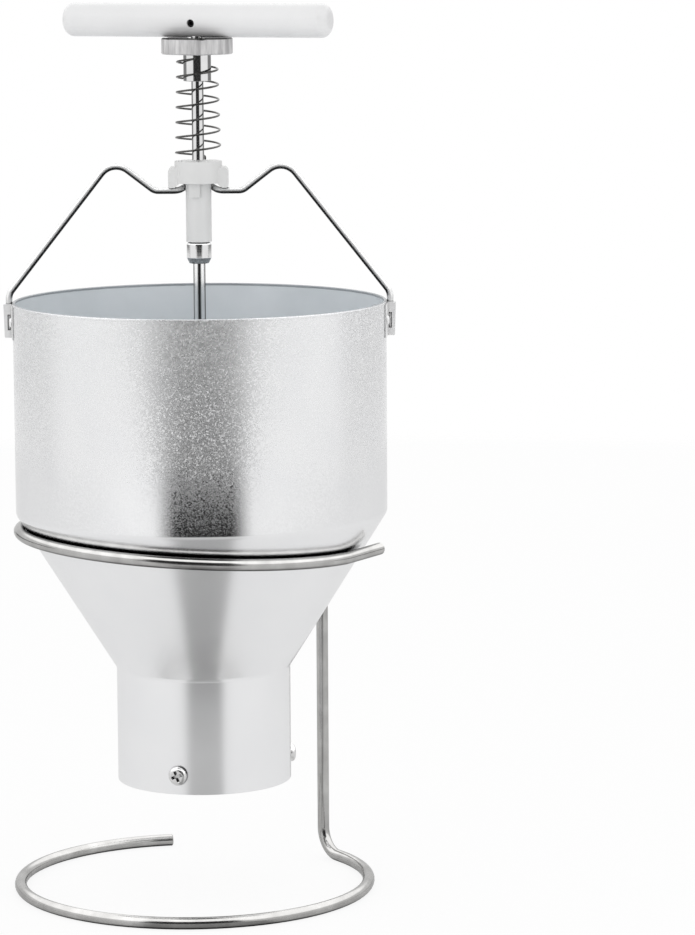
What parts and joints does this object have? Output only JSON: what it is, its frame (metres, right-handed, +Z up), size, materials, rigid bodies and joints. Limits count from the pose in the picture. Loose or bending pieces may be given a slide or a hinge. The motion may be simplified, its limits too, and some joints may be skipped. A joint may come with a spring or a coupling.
{
  "type": "manual donut depositor",
  "caption": "Batter hopper in a bent wire stand, with a spring-return push handle whose piston and core disc form a ring of batter and cut it off at the outlet.",
  "frame": {"origin": "on the table under the hopper's axis", "axes": "+Z up along the plunger's axis, -Y the front, +X the right side seen from the front"},
  "size_m": [0.2098, 0.2002, 0.4797],
  "materials": {
    "stand_steel": "polished drawn wire",
    "spun_aluminium": "satin, finely blasted",
    "lug_steel": "bright rolled sheet",
    "bail_steel": "bright polished wire",
    "polished_steel": "ground and polished",
    "white_plastic": "moulded, satin",
    "guide_plastic": "turned, satin",
    "handle_plastic": "smooth, glossy",
    "dial_aluminium": "turned",
    "spring_steel": "drawn wire",
    "screw_steel": "bright",
    "black_steel": "blackened"
  },
  "bodies": {
    "stand": {"stand_frame": "stand_steel"},
    "hopper": {"hopper": "spun_aluminium", "left_bail_lug": "lug_steel", "right_bail_lug": "lug_steel", "lug_rivets": "lug_steel", "bail_wire": "bail_steel", "crosshead": "white_plastic", "guide_sleeve": "guide_plastic", "outlet_sleeve": "white_plastic", "sleeve_screws": "screw_steel", "return_spring": "spring_steel"},
    "stop_sleeve": {"stop_sleeve": "polished_steel"},
    "plunger": {"handle_bar": "handle_plastic", "handle_set_screw": "black_steel", "upper_rod": "polished_steel", "rod_coupling": "polished_steel", "lower_rod": "polished_steel", "piston": "white_plastic", "piston_nuts": "screw_steel", "core_disc": "polished_steel", "disc_lock_nut": "screw_steel", "disc_cap_nut": "polished_steel"},
    "dial": {"stroke_dial": "dial_aluminium"}
  },
  "joints": [
    {"name": "hopper_lift", "type": "slide", "parent": "stand", "child": "hopper", "axis": [0, 0, 1], "range_m": [0, 0.16]},
    {"name": "plunger_stroke", "type": "slide", "parent": "hopper", "child": "stop_sleeve", "axis": [0, 0, -1], "range_m": [0, 0.042], "stiffness_N_per_m": 1200, "springref_m": -0.012, "deforming": ["return_spring"]},
    {"name": "handle_swivel", "type": "hinge", "parent": "stop_sleeve", "child": "plunger", "pos_m": [0, 0, 0.4707], "axis": [0, 0, 1], "continuous": true},
    {"name": "dial_turn", "type": "hinge", "parent": "plunger", "child": "dial", "pos_m": [0, 0, 0.457], "axis": [0, 0, 1], "continuous": true}
  ]
}
